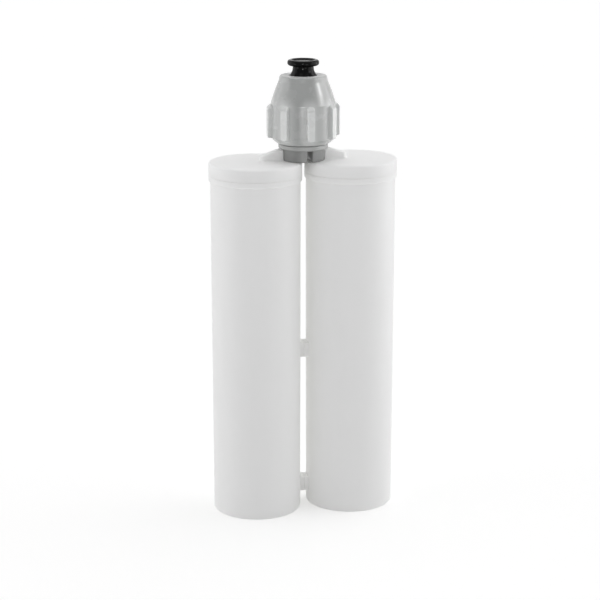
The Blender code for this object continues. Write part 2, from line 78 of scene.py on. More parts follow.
# %% Shared sizes
FIT = 0.0003
HAIRLINE = 0.00008
SEAM_EDGE = 0.00005
FINE_EDGE = 0.0001
EDGE = 0.0002
SOFT_EDGE = 0.0003
BLUNT_EDGE = 0.0004

head_low, head_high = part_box("head_right")
piston_low, piston_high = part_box("piston_right")
nut_low, nut_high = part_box("retaining_nut")
plug_low, plug_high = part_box("plug")
neck_low, neck_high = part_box("neck")

axis_x = (head_low.x + head_high.x) / 2
rim_radius = (head_high.x - head_low.x) / 2
bore_radius = (piston_high.x - piston_low.x) / 2 + FIT
head_top = mounts["shoulder_right"][2]
print(f"barrel axes at x = +-{axis_x * 1000:.2f} mm, bore radius {bore_radius * 1000:.2f} mm")

# %% [markdown]
# ## From formula to mesh
# Almost every piece here is turned, so its surface is a grid: one parameter runs round the axis, the other
# along a profile. Blender's Screw modifier could turn a drawn profile. Arrays are used instead, because
# ribs, threads and humps can then be added to the radius or the height before the points become a mesh.


# %% Profiles
def rounded(corners, steps=6, closed=False):
    """Points of a profile whose corners are arcs.

    Each corner is (radius, height, rounding). The arc touches both runs at rounding / tan(half the angle)
    from the corner, and its points are spread evenly over its angle.
    """
    corners = np.array(corners, float)
    count = len(corners)
    runs = []
    for index, (*place, rounding) in enumerate(corners):
        place = np.array(place)
        at_end = not closed and index in (0, count - 1)
        if at_end or rounding == 0:
            runs.append(place[None])
            continue
        back = corners[index - 1, :2] - place
        ahead = corners[(index + 1) % count, :2] - place
        back /= np.linalg.norm(back)
        ahead /= np.linalg.norm(ahead)
        half = math.acos(np.clip(back @ ahead, -1, 1)) / 2
        middle = (back + ahead) / np.linalg.norm(back + ahead)
        centre = place + middle * rounding / math.sin(half)
        first = place + back * rounding / math.tan(half) - centre
        last = place + ahead * rounding / math.tan(half) - centre
        sweep = math.pi - 2 * half
        share = np.linspace(0, 1, steps + 1)[:, None]
        arc = np.sin((1 - share) * sweep) * first + np.sin(share * sweep) * last
        runs.append(centre + arc / math.sin(sweep))
    return np.concatenate(runs)


def divided(profile, gap, closed=False):
    """The same profile with extra points, so that no run is longer than the gap."""
    ends = np.roll(profile, -1, axis=0) if closed else profile[1:]
    runs = []
    for start, end in zip(profile, ends):
        pieces = max(1, math.ceil(np.linalg.norm(end - start) / gap))
        share = np.arange(pieces)[:, None] / pieces
        runs.append(start + (end - start) * share)
    if not closed:
        runs.append(profile[-1:])
    return np.concatenate(runs)


def turned(profile, steps=192, centre=(0.0, 0.0)):
    """Grid of a profile turned round an upright axis: x = r cos a, y = r sin a, z = height."""
    angle = np.linspace(0, 2 * math.pi, steps, endpoint=False)[:, None]
    radius, height = profile.T
    x = centre[0] + radius * np.cos(angle)
    y = centre[1] + radius * np.sin(angle)
    return np.stack([x, y, np.broadcast_to(height, x.shape)], axis=-1)


print("profiles: rounded, divided, turned")


# %% Meshes
MERGE = 1e-7
CREASE = math.radians(38)


def grid_mesh(name, points, ring=False):
    """Mesh of a grid that closes round its first direction. A ring also closes along its second.

    A grid that isn't a ring starts and ends on the axis, and its doubled points there are merged to one.
    Profiles run up the outer side, so that the faces point outwards.
    """
    rows, columns = points.shape[:2]
    row = np.arange(rows)[:, None]
    column = np.arange(columns if ring else columns - 1)[None, :]
    next_row = (row + 1) % rows
    next_column = (column + 1) % columns
    corners = [row * columns + column, next_row * columns + column]
    corners += [next_row * columns + next_column, row * columns + next_column]
    faces = np.stack(corners, axis=-1).reshape(-1, 4)
    mesh = bpy.data.meshes.new(name)
    mesh.from_pydata(points.reshape(-1, 3).tolist(), [], faces.tolist())
    form = bmesh.new()
    form.from_mesh(mesh)
    bmesh.ops.remove_doubles(form, verts=form.verts, dist=MERGE)
    form.to_mesh(mesh)
    form.free()
    return mesh


def prism_mesh(name, outline, foot, top):
    """Upright prism on an outline that runs anticlockwise: two rings of points, side faces and two caps."""
    count = len(outline)
    rings = [np.column_stack([outline, np.full(count, height)]) for height in (foot, top)]
    here = np.arange(count)
    ahead = (here + 1) % count
    sides = np.column_stack([here, ahead, ahead + count, here + count]).tolist()
    caps = [here[::-1].tolist(), (here + count).tolist()]
    mesh = bpy.data.meshes.new(name)
    mesh.from_pydata(np.concatenate(rings).tolist(), [], sides + caps)
    return mesh


def carved(mesh, tool, operation):
    """The mesh joined with, or cut by, a closed tool. Both old meshes are used up."""
    body = bpy.data.objects.new("body", mesh)
    helper = bpy.data.objects.new("tool", tool)
    for obj in (body, helper):
        bpy.context.scene.collection.objects.link(obj)
    modifier = body.modifiers.new("carve", "BOOLEAN")
    modifier.operation = operation
    modifier.solver = "EXACT"
    modifier.object = helper
    graph = bpy.context.evaluated_depsgraph_get()
    result = bpy.data.meshes.new_from_object(body.evaluated_get(graph))
    for obj in (body, helper):
        bpy.data.objects.remove(obj)
    result.name = mesh.name
    for used in (mesh, tool):
        bpy.data.meshes.remove(used)
    return result


def half_turn(mesh, name):
    """A copy turned half round the outlet's axis, which makes the left piece from the right one."""
    copy = mesh.copy()
    copy.name = name
    points = np.empty(len(copy.vertices) * 3, np.float32)
    copy.vertices.foreach_get("co", points)
    turned_points = points.reshape(-1, 3) * np.array([-1, -1, 1], np.float32)
    copy.vertices.foreach_set("co", turned_points.ravel())
    copy.update()
    return copy


print("meshes: grids, prisms, carving")


# %% [markdown]
# ## Putting a piece in the frame
# A finished piece sits at the origin with its place in its mesh. It rides on the body of the solid that it
# stands for, so it follows the joints, and gets its finish.


# %% Pieces
def dress(name, mesh, node, finish):
    """Makes the piece, shades it smooth with sharp creases, and lets it stand for its node."""
    mesh.name = name
    mesh.materials.clear()
    mesh.materials.append(finish)
    mesh.shade_smooth()
    mesh.set_sharp_from_angle(angle=CREASE)
    piece = bpy.data.objects.new(name, mesh)
    bpy.context.scene.collection.objects.link(piece)
    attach(piece, body_of[node])
    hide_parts(node)
    mesh.calc_loop_triangles()
    print(f"{name}: {len(mesh.loop_triangles)} triangles, stands for {node}")


def dress_pair(name, mesh, node, finish):
    """The right piece as it is, and the left one turned half round."""
    dress(name + "_left", half_turn(mesh, name + "_left"), node + "_left", finish)
    dress(name + "_right", mesh, node + "_right", finish)


# %% [markdown]
# ## Finishes
# All the plastics are moulded. Their colour is nearly even, so what tells them apart is gloss, a faint
# cloudiness, and the fine ripple that a mould leaves. Every finish mixes two close colours by a noise,
# lets the roughness wander, and adds a shallow bump. The noise reads Object coordinates, so it stays fixed
# to the piece. The white and the pale grey also let light in and scatter it a little way, and a sheen
# lightens their edges.

# %% Finish builder
CLOUD_DETAIL = 4.0
CLOUD_LOW = 0.3
CLOUD_HIGH = 0.7
RIPPLE_DETAIL = 2.0
RIPPLE_DEPTH = 0.0002


def moulded_finish(name, dark, light, roughness, cloud_size, streak=1.0, ripple_size=0.0012, ripple=0.04):
    """Principled plastic: colour between dark and light by a cloudy noise, stretched upright by streak."""
    material = bpy.data.materials.new(name)
    material.use_nodes = True
    nodes = material.node_tree.nodes
    links = material.node_tree.links
    shader = nodes["Principled BSDF"]
    place = nodes.new("ShaderNodeTexCoord")
    stretch = nodes.new("ShaderNodeMapping")
    stretch.inputs["Scale"].default_value = (1.0, 1.0, 1.0 / streak)
    links.new(place.outputs["Object"], stretch.inputs["Vector"])

    cloud = nodes.new("ShaderNodeTexNoise")
    cloud.inputs["Scale"].default_value = 1.0 / cloud_size
    cloud.inputs["Detail"].default_value = CLOUD_DETAIL
    links.new(stretch.outputs["Vector"], cloud.inputs["Vector"])
    tint = nodes.new("ShaderNodeValToRGB")
    tint.color_ramp.elements[0].position = CLOUD_LOW
    tint.color_ramp.elements[0].color = (*dark, 1.0)
    tint.color_ramp.elements[1].position = CLOUD_HIGH
    tint.color_ramp.elements[1].color = (*light, 1.0)
    links.new(cloud.outputs["Fac"], tint.inputs["Fac"])
    links.new(tint.outputs["Color"], shader.inputs["Base Color"])

    gloss = nodes.new("ShaderNodeMapRange")
    gloss.inputs["To Min"].default_value = roughness[0]
    gloss.inputs["To Max"].default_value = roughness[1]
    links.new(cloud.outputs["Fac"], gloss.inputs["Value"])
    links.new(gloss.outputs["Result"], shader.inputs["Roughness"])

    fine = nodes.new("ShaderNodeTexNoise")
    fine.inputs["Scale"].default_value = 1.0 / ripple_size
    fine.inputs["Detail"].default_value = RIPPLE_DETAIL
    links.new(place.outputs["Object"], fine.inputs["Vector"])
    bump = nodes.new("ShaderNodeBump")
    bump.inputs["Strength"].default_value = ripple
    bump.inputs["Distance"].default_value = RIPPLE_DEPTH
    links.new(fine.outputs["Fac"], bump.inputs["Height"])
    links.new(bump.outputs["Normal"], shader.inputs["Normal"])
    print("finish:", name)
    return material, shader


def let_light_in(shader, depth, sheen, sheen_roughness):
    """Scatters all light under the surface over the depth, and lightens the edges by a sheen."""
    shader.inputs["Subsurface Weight"].default_value = 1.0
    shader.inputs["Subsurface Radius"].default_value = (1.0, 1.0, 1.0)
    shader.inputs["Subsurface Scale"].default_value = depth
    shader.inputs["Sheen Weight"].default_value = sheen
    shader.inputs["Sheen Roughness"].default_value = sheen_roughness


# %% The finishes
BLACK_SHINE = 0.06

milky_white, milky_shader = moulded_finish(
    "milky_white", (0.950, 0.950, 0.938), (0.980, 0.980, 0.968), (0.50, 0.62), 0.016, streak=5.0
)
let_light_in(milky_shader, depth=0.0007, sheen=1.0, sheen_roughness=0.3)
satin_grey, satin_shader = moulded_finish(
    "satin_grey", (0.36, 0.365, 0.36), (0.39, 0.395, 0.39), (0.32, 0.42), 0.006
)
gloss_grey, grey_shader = moulded_finish(
    "gloss_grey", (0.40, 0.41, 0.405), (0.43, 0.44, 0.435), (0.24, 0.30), 0.007, ripple=0.02
)
let_light_in(grey_shader, depth=0.001, sheen=0.9, sheen_roughness=0.45)
gloss_black, black_shader = moulded_finish(
    "gloss_black", (0.002, 0.002, 0.0021), (0.004, 0.004, 0.0042), (0.10, 0.14), 0.004, ripple=0.003
)
black_shader.inputs["Specular IOR Level"].default_value = BLACK_SHINE
natural_plastic, _ = moulded_finish(
    "natural_plastic", (0.70, 0.70, 0.67), (0.75, 0.75, 0.72), (0.40, 0.52), 0.008
)
seal_rubber, _ = moulded_finish(
    "seal_rubber",
    (0.016, 0.016, 0.016),
    (0.026, 0.026, 0.026),
    (0.55, 0.70),
    0.003,
    ripple_size=0.0004,
    ripple=0.15,
)

# %% [markdown]
# ## Barrels
# A barrel is a plain moulded tube, open at the foot, with a lip that the head rests on. A tube could be a
# cylinder with Solidify. One closed profile, turned, gives the wall, the lip and their roundings at once.

# %% Barrel tube
BARREL_RADIUS = 0.0220
BARREL_DRAFT = 0.0002
BARREL_TOP = 0.1729
LIP_FOOT = 0.1682
LIP_TOP = 0.17078
LIP_SLOPE = 0.0004
MOUTH_RADIUS = 0.02115
FOOT_ROUND = 0.0008
BARREL_GRID = 0.004

barrel_profile = rounded(
    [
        (bore_radius, 0.0, SOFT_EDGE),
        (BARREL_RADIUS - BARREL_DRAFT, 0.0, FOOT_ROUND),
        (BARREL_RADIUS, LIP_FOOT - LIP_SLOPE, SOFT_EDGE),
        (rim_radius, LIP_FOOT, SOFT_EDGE),
        (rim_radius, LIP_TOP, SEAM_EDGE),
        (MOUTH_RADIUS, LIP_TOP, EDGE),
        (MOUTH_RADIUS, BARREL_TOP, EDGE),
        (bore_radius, BARREL_TOP, EDGE),
    ],
    closed=True,
)
barrel_profile = divided(barrel_profile, BARREL_GRID, closed=True)
barrel = grid_mesh("barrel", turned(barrel_profile, centre=(axis_x, 0.0)), ring=True)
print("barrel tube:", len(barrel.vertices), "points")

# %% [markdown]
# The two barrels are tied by small lugs across the gap. Half of each lug's face carries a tongue, the
# other half a groove, so that the same moulding, turned half round, locks into its twin. Seen from above a
# lug is one outline, so it is a prism with its upper and lower edges bevelled.

# %% Lugs
LUG_HEIGHT = 0.0073
LUG_WIDTH = 0.0070
LUG_CENTRES = (0.0104, 0.0814)
LUG_ROOT = 0.0009
LUG_CHEEK = 0.0010
LUG_BACK = 0.0004
LUG_ROUND = 0.00022

lug_face = HAIRLINE / 2
lug_root = axis_x - BARREL_RADIUS + LUG_ROOT
groove_width = LUG_WIDTH / 2 - 2 * LUG_CHEEK
groove_depth = axis_x - BARREL_RADIUS - lug_face - LUG_BACK
tongue_width = groove_width - 2 * FIT
tongue_tip = FIT - groove_depth - lug_face
lug_half = LUG_WIDTH / 2
lug_outline = rounded(
    [
        (lug_root, -lug_half, 0.0),
        (lug_root, lug_half, 0.0),
        (lug_face, lug_half, LUG_ROUND),
        (lug_face, lug_half / 2 + tongue_width / 2, 0.0),
        (tongue_tip, lug_half / 2 + tongue_width / 2, LUG_ROUND),
        (tongue_tip, lug_half / 2 - tongue_width / 2, LUG_ROUND),
        (lug_face, lug_half / 2 - tongue_width / 2, 0.0),
        (lug_face, -lug_half / 2 + groove_width / 2, LUG_ROUND),
        (lug_face + groove_depth, -lug_half / 2 + groove_width / 2, 0.0),
        (lug_face + groove_depth, -lug_half / 2 - groove_width / 2, 0.0),
        (lug_face, -lug_half / 2 - groove_width / 2, LUG_ROUND),
        (lug_face, -lug_half, LUG_ROUND),
    ],
    steps=4,
    closed=True,
)


def lug_mesh(centre):
    """One lug round its centre height, with soft upper and lower edges."""
    mesh = prism_mesh("lug", lug_outline, centre - LUG_HEIGHT / 2, centre + LUG_HEIGHT / 2)
    form = bmesh.new()
    form.from_mesh(mesh)
    ends = [edge for edge in form.edges if abs(edge.verts[0].co.z - edge.verts[1].co.z) < MERGE]
    bmesh.ops.bevel(form, geom=ends, offset=LUG_ROUND / 2, segments=2, profile=0.5, affect="EDGES")
    form.to_mesh(mesh)
    form.free()
    return mesh


for lug_centre in LUG_CENTRES:
    barrel = carved(barrel, lug_mesh(lug_centre), "UNION")
dress_pair("moulded_barrel", barrel, "barrel", milky_white)

# %% [markdown]
# ## Heads
# A head caps its barrel with a skirt over the mouth. On top a narrow fairing climbs to the collar of the
# outlet and stiffens it. The head is turned. The fairing is a section carried round a stadium, which is a
# straight crest line with a half circle at each end, and its height follows the slope of the crest. Its
# foot flares into the head's top.

# %% Head disc
HEAD_UNDERSIDE = 0.1732
SKIRT_FOOT = 0.17082
SKIRT_RADIUS = 0.02145
SKIRT_EDGE = 0.00015
HEAD_ROUND = 0.0011
HEAD_GRID = 0.0030

head_profile = rounded(
    [
        (0.0, HEAD_UNDERSIDE, 0.0),
        (SKIRT_RADIUS, HEAD_UNDERSIDE, EDGE),
        (SKIRT_RADIUS, SKIRT_FOOT, SKIRT_EDGE),
        (rim_radius, SKIRT_FOOT, SEAM_EDGE),
        (rim_radius, head_top, HEAD_ROUND),
        (0.0, head_top, 0.0),
    ]
)
head_profile = divided(head_profile, HEAD_GRID)
head = grid_mesh("head", turned(head_profile, centre=(axis_x, 0.0)))
print("head disc:", len(head.vertices), "points")

# %% Fairing
COLLAR_FOOT = 0.1832
CREST_START = 0.0124
FAIRING_INNER = 0.0080
FAIRING_REACH = 0.0215
FAIRING_HALF = 0.0020
FAIRING_ROUND = 0.0013
FAIRING_FLARE = 0.0014
FAIRING_DRAFT = 0.0003
FAIRING_END = 0.0027
FAIRING_ROOT = 0.0015
FAIRING_GRID = 0.0005

crest_height = COLLAR_FOOT - FIT - head_top
flare_edge = FAIRING_HALF + FAIRING_DRAFT + FAIRING_FLARE


def stadium(start, end, steps=24):
    """Foot points on the line from start to end, and outward directions: two sides and two half circles."""
    share = np.linspace(0, 1, steps, endpoint=False)
    along = start + (end - start) * share
    turn = math.pi * share - math.pi / 2
    feet = np.concatenate([along, np.full(steps, end), (start + end) - along, np.full(steps, start)])
    straight = np.full(steps, math.pi / 2)
    facing = np.concatenate([-straight, turn, straight, turn + math.pi])
    return feet, np.column_stack([np.cos(facing), np.sin(facing)])


def fairing_mesh():
    """Point = foot + distance * direction, and height = share of the crest's height at that x."""
    section = rounded(
        [
            (0.0, -FAIRING_ROOT, 0.0),
            (flare_edge, -FAIRING_ROOT, 0.0),
            (flare_edge, -HAIRLINE, 0.0),
            (FAIRING_HALF + FAIRING_DRAFT, -HAIRLINE, FAIRING_FLARE),
            (FAIRING_HALF, crest_height, FAIRING_ROUND),
            (0.0, crest_height, 0.0),
        ],
        steps=10,
    )
    section = divided(section, FAIRING_GRID)
    feet, direction = stadium(FAIRING_INNER, FAIRING_REACH - FAIRING_HALF)
    distance, lift = section.T
    x = feet[:, None] + distance * direction[:, :1]
    y = distance * direction[:, 1:]
    fall = np.clip((x - CREST_START) / (FAIRING_REACH - CREST_START), 0, 1)
    slope = 1 + (FAIRING_END / crest_height - 1) * fall
    z = head_top + np.where(lift > 0, lift * slope, lift)
    return grid_mesh("fairing", np.stack([x, y, z], axis=-1))


head = carved(head, fairing_mesh(), "UNION")
print("fairing: from", round(crest_height * 1000, 2), "to", FAIRING_END * 1000, "mm above the head")

# %% Head openings
CHANNEL_RADIUS = 0.0025
CHANNEL_X = 0.0064
LEG_RADIUS = 0.0105
SOCKET_RADIUS = 0.0039
SOCKET_FLOOR = 0.1744

port_profile = np.array(
    [
        (0.0, HEAD_UNDERSIDE - FIT),
        (CHANNEL_RADIUS, HEAD_UNDERSIDE - FIT),
        (CHANNEL_RADIUS, SOCKET_FLOOR),
        (SOCKET_RADIUS, SOCKET_FLOOR),
        (SOCKET_RADIUS, COLLAR_FOOT),
        (0.0, COLLAR_FOOT),
    ]
)
room_foot = head_top + HAIRLINE / 2
room_radius = LEG_RADIUS + HAIRLINE
room_profile = np.array(
    [(0.0, room_foot), (room_radius, room_foot), (room_radius, COLLAR_FOOT), (0.0, COLLAR_FOOT)]
)
neck_room = grid_mesh("neck_room", turned(room_profile, steps=128))
head = carved(head, neck_room, "DIFFERENCE")
port = grid_mesh("port", turned(port_profile, steps=64, centre=(CHANNEL_X, 0.0)))
head = carved(head, port, "DIFFERENCE")
dress_pair("moulded_head", head, "head", milky_white)

# %% [markdown]
# The outlet's legs are painted darker than its collar. This is painted shade, for the shadow that the collar
# and the nut cast on them. A step in height multiplies their colour, between the noise and the shader, so
# the cloudiness stays.

# %% Painted shade on the legs
LEG_PAINTED_SHADE = 0.63


def paint_shade_below(material, shader, height, shade_factor):
    """Painted shade: the base colour times the shade factor wherever the point lies under the height."""
    nodes = material.node_tree.nodes
    links = material.node_tree.links
    colour = shader.inputs["Base Color"].links[0].from_socket
    place = nodes.new("ShaderNodeTexCoord")
    axes = nodes.new("ShaderNodeSeparateXYZ")
    links.new(place.outputs["Object"], axes.inputs[0])
    below = nodes.new("ShaderNodeMath")
    below.operation = "LESS_THAN"
    below.inputs[1].default_value = height
    links.new(axes.outputs["Z"], below.inputs[0])
    shade = nodes.new("ShaderNodeMix")
    shade.data_type = "RGBA"
    shade.blend_type = "MULTIPLY"
    shade.inputs["B"].default_value = (shade_factor, shade_factor, shade_factor, 1.0)
    links.new(below.outputs[0], shade.inputs["Factor"])
    links.new(colour, shade.inputs["A"])
    links.new(shade.outputs["Result"], shader.inputs["Base Color"])
    print(material.name, "is darker under", height, "m")


# Painted shade under the collar: the legs' colour is multiplied down below the collar's foot.
paint_shade_below(satin_grey, satin_shader, COLLAR_FOOT, LEG_PAINTED_SHADE)

# %% [markdown]
# ## Outlet neck
# The neck carries the two channels side by side. It has two half-round legs, a collar, and a nose with a
# coarse thread for the nut or a mixer. The thread is a ridge added to the nose's radius where the height
# is close to a helix: z = start + pitch * angle / turn. The slot, the spigots and the channels are then
# cut or joined on.

# %% Thread
THREAD_PITCH = 0.0040
RIDGE = 0.0010
RIDGE_HALF = 0.0011
RIDGE_POWER = 1.2
RIDGE_RUN_OUT = 0.0010


def thread_ridge(angle, height, start, end):
    """Ridge height: RIDGE * cos^RIDGE_POWER of the way to the nearest turn, fading out at both ends."""
    turn = THREAD_PITCH * angle / (2 * math.pi)
    offset = (height - start - turn + THREAD_PITCH / 2) % THREAD_PITCH - THREAD_PITCH / 2
    middle = height - offset
    share = np.clip(np.abs(offset) / RIDGE_HALF, 0, 1)
    fade = np.clip((middle - start) / RIDGE_RUN_OUT, 0, 1) * np.clip((end - middle) / RIDGE_RUN_OUT, 0, 1)
    return RIDGE * np.cos(share * math.pi / 2) ** RIDGE_POWER * fade


print("thread: pitch", THREAD_PITCH * 1000, "mm, right-handed")

# %% Neck body
LEG_FOOT = head_top + HAIRLINE
COLLAR_TOP = nut_low.z - FIT
COLLAR_RADIUS = 0.0121
NOSE_RADIUS = 0.0112
NOSE_RIDGE_START = 0.0012
NOSE_RIDGE_STOP = 0.0026
NOSE_ROUND = 0.0008
NECK_STEPS = 192
NECK_GRID = 0.0002

nose_top = neck_high.z
neck_profile = rounded(
    [
        (0.0, LEG_FOOT, 0.0),
        (LEG_RADIUS, LEG_FOOT, SOFT_EDGE),
        (LEG_RADIUS, COLLAR_FOOT, SOFT_EDGE),
        (COLLAR_RADIUS, COLLAR_FOOT, BLUNT_EDGE),
        (COLLAR_RADIUS, COLLAR_TOP, BLUNT_EDGE),
        (NOSE_RADIUS, COLLAR_TOP, SOFT_EDGE),
        (NOSE_RADIUS, nose_top, NOSE_ROUND),
        (0.0, nose_top, 0.0),
    ]
)
neck_wall, neck_height = divided(neck_profile, NECK_GRID).T
neck_angle = np.linspace(0, 2 * math.pi, NECK_STEPS, endpoint=False)[:, None]
ridge_from = COLLAR_TOP + NOSE_RIDGE_START
ridge_to = nose_top - NOSE_RIDGE_STOP
neck_ridge = thread_ridge(neck_angle, neck_height, ridge_from, ridge_to)
neck_radius = neck_wall + np.where(neck_wall > NOSE_RADIUS - MERGE, neck_ridge, 0)
neck_points = np.stack(
    [
        neck_radius * np.cos(neck_angle),
        neck_radius * np.sin(neck_angle),
        np.broadcast_to(neck_height, neck_radius.shape),
    ],
    axis=-1,
)
neck = grid_mesh("neck", neck_points)
print("neck body:", len(neck.vertices), "points")

# %% Neck slot and channels
SLOT_WIDTH = 0.0025
SLOT_OFFSET = 0.0010
SLOT_ROOF = 0.0004
LEG_EDGE = 0.0005
LEG_EDGE_POINTS = 7
SLOT_OVERREACH = 1.2
SPIGOT_RADIUS = 0.0036
SPIGOT_ROOT = 0.0010


def leg_edge(face, inward, side):
    """The rounded upright edge of a leg: an arc that touches the slot's face and the leg's round outside.

    Its centre lies LEG_EDGE inside the face and LEG_EDGE inside the leg's radius. One more point, before the
    arc, lies outside the leg.
    """
    centre_x = face + inward * LEG_EDGE
    centre_y = side * math.sqrt((LEG_RADIUS - LEG_EDGE) ** 2 - centre_x**2)
    outward = math.atan2(centre_y, centre_x)
    to_face = math.pi if inward > 0 else 0.0
    sweep = (to_face - outward + math.pi) % (2 * math.pi) - math.pi
    angle = outward + sweep * np.linspace(0, 1, LEG_EDGE_POINTS)
    arc = np.column_stack([centre_x + LEG_EDGE * np.cos(angle), centre_y + LEG_EDGE * np.sin(angle)])
    return np.concatenate([arc[:1] * SLOT_OVERREACH, arc])


slot_left = SLOT_OFFSET - SLOT_WIDTH / 2
slot_right = SLOT_OFFSET + SLOT_WIDTH / 2
slot_outline = np.concatenate(
    [
        leg_edge(slot_right, 1, -1),
        leg_edge(slot_right, 1, 1)[::-1],
        leg_edge(slot_left, -1, 1),
        leg_edge(slot_left, -1, -1)[::-1],
    ]
)
neck = carved(neck, prism_mesh("slot", slot_outline, LEG_FOOT - FIT, COLLAR_FOOT - SLOT_ROOF), "DIFFERENCE")


def upright_rod(name, radius, foot, top, x):
    """A plain closed rod, used to add or cut."""
    profile = np.array([(0.0, foot), (radius, foot), (radius, top), (0.0, top)])
    return grid_mesh(name, turned(profile, steps=64, centre=(x, 0.0)))


for channel_x in (-CHANNEL_X, CHANNEL_X):
    spigot = upright_rod("spigot", SPIGOT_RADIUS, neck_low.z, LEG_FOOT + SPIGOT_ROOT, channel_x)
    neck = carved(neck, spigot, "UNION")
    channel = upright_rod("channel", CHANNEL_RADIUS, neck_low.z - FIT, nose_top + FIT, channel_x)
    neck = carved(neck, channel, "DIFFERENCE")
dress("outlet_neck", neck, "neck", satin_grey)

# %% [markdown]
# ## Retaining nut
# The nut is one turned ring with eight grip ribs. A rib could be a bevelled block joined on. Here it is a
# height added to the outer radius: a flat pad with round corners and soft flanks, whose top runs out into
# the cone, so the ribs melt into the body as they do in a mould. The same grid carries the thread on its
# inner side, so the nut is one closed surface.

# %% Nut profile
NUT_RADIUS = 0.01575
NUT_BORE = 0.0125
NUT_FOOT_WALL = 0.0004
NUT_FOOT_SLOPE = 0.0027
NUT_FOOT_BULGE = 0.0003
NUT_FOOT_ARC = 0.0030
CONE_START = 0.0194
CONE_END = 0.0301
CONE_TAPER = 0.00385
CONE_BULGE = 0.0002
CONE_ARC = 0.0300
CONE_FOOT_ROUND = 0.0012
CONE_TOP_ROUND = 0.0020
BORE_END_ROUND = 0.0006
CONE_WALL = 0.0030
NUT_TOP_TAPER = 0.0005
NUT_TOP_ROUND = 0.0010
NUT_ROOF = 0.0030
NUT_HOLE = 0.0068
RIB_FOOT = 0.0024
RIB_LENGTH = 0.0153
RIB_TOP_SLOPE = 0.0020
RIB_FLANK = 0.0006
FLANK_STEPS = 8
NUT_GRID = 0.0003

nut_foot = nut_low.z
nut_top = nut_high.z
cone_foot = nut_foot + CONE_START
cone_top = nut_foot + CONE_END
cone_radius = NUT_RADIUS - CONE_TAPER
roof = nut_top - NUT_ROOF
slope_radius = (NUT_RADIUS + NUT_BORE + NUT_FOOT_WALL) / 2 + NUT_FOOT_BULGE
rib_foot = nut_foot + RIB_FOOT
rib_end_heights = rib_foot + np.linspace(0, RIB_FLANK, FLANK_STEPS)[1:]
slope_top = nut_foot + NUT_FOOT_SLOPE
nut_corners = [
    (NUT_BORE, nut_foot, FINE_EDGE),
    (NUT_BORE + NUT_FOOT_WALL, nut_foot, EDGE),
    (slope_radius, nut_foot + NUT_FOOT_SLOPE / 2, NUT_FOOT_ARC),
    (NUT_RADIUS, slope_top, EDGE),
    *((NUT_RADIUS, level, 0.0) for level in rib_end_heights if level > slope_top + FIT),
    (NUT_RADIUS, cone_foot, CONE_FOOT_ROUND),
    (NUT_RADIUS - CONE_TAPER / 2 + CONE_BULGE, (cone_foot + cone_top) / 2, CONE_ARC),
    (cone_radius, cone_top, CONE_TOP_ROUND),
    (cone_radius - NUT_TOP_TAPER, nut_top, NUT_TOP_ROUND),
    (NUT_HOLE, nut_top, EDGE),
    (NUT_HOLE, roof, EDGE),
    (cone_radius - CONE_WALL, roof, BLUNT_EDGE),
    (NUT_BORE, cone_foot, BORE_END_ROUND),
]
nut_profile = divided(rounded(nut_corners, closed=True), NUT_GRID, closed=True)
print("nut profile:", len(nut_profile), "points")

# %% Nut ribs
RIB_COUNT = 8
RIB_WIDTH = 0.0040
RIB_CORNER = 0.0017
RUN_OUT_ROUND = 0.35
PANEL_STEPS = 6
FACE_STEPS = 6

rib_radius = nut_high.x
rib_half = RIB_WIDTH / 2
rib_reach = (RIB_LENGTH + RIB_TOP_SLOPE) / 2
rib_middle = rib_foot + rib_reach
rib_pitch = 2 * math.pi * NUT_RADIUS / RIB_COUNT


def eased(share):
    """The S-curve 3 s^2 - 2 s^3 from 0 to 1, level before and after."""
    share = np.clip(share, 0, 1)
    return share**2 * (3 - 2 * share)


def soft_least(a, b, width):
    """The lesser of two values, with the corner between them rounded over the width."""
    blend = np.clip(0.5 + (b - a) / (2 * width), 0, 1)
    return b + (a - b) * blend - width * blend * (1 - blend)


def rib_inset(aside, height):
    """The way inwards from the edge of a pad, a rectangle with round corners. Outside it is negative."""
    beside = np.abs(aside) - (rib_half - RIB_CORNER)
    beyond = np.abs(height - rib_middle) - (rib_reach - RIB_CORNER)
    corner = np.hypot(np.maximum(beside, 0), np.maximum(beyond, 0))
    return RIB_CORNER - corner - np.minimum(np.maximum(beside, beyond), 0)


def rib_height(aside, height):
    """Pad over the nut's body: a flat face with round corners, soft flanks, and a run-out at its top.

    A flat face lies at radius = its distance from the axis / cos of the angle from its middle.
    """
    fall = 1 + (rib_foot + RIB_LENGTH - height) / RIB_TOP_SLOPE
    run_out = np.clip(soft_least(fall, 1.0, RUN_OUT_ROUND), 0, 1)
    face = rib_radius * math.cos(rib_half / NUT_RADIUS) / np.cos(aside / NUT_RADIUS)
    return (face - NUT_RADIUS) * eased(rib_inset(aside, height) / RIB_FLANK) * run_out


rib_edge = rib_half - np.linspace(0, RIB_FLANK, FLANK_STEPS)
one_side = np.concatenate(
    [
        np.linspace(rib_pitch / 2, rib_half, PANEL_STEPS, endpoint=False),
        rib_edge,
        np.linspace(rib_edge[-1], 0, FACE_STEPS, endpoint=False)[1:],
    ]
)
across = np.concatenate([-one_side, [0.0], one_side[:0:-1]])
print("nut ribs:", len(across) * RIB_COUNT, "steps round")

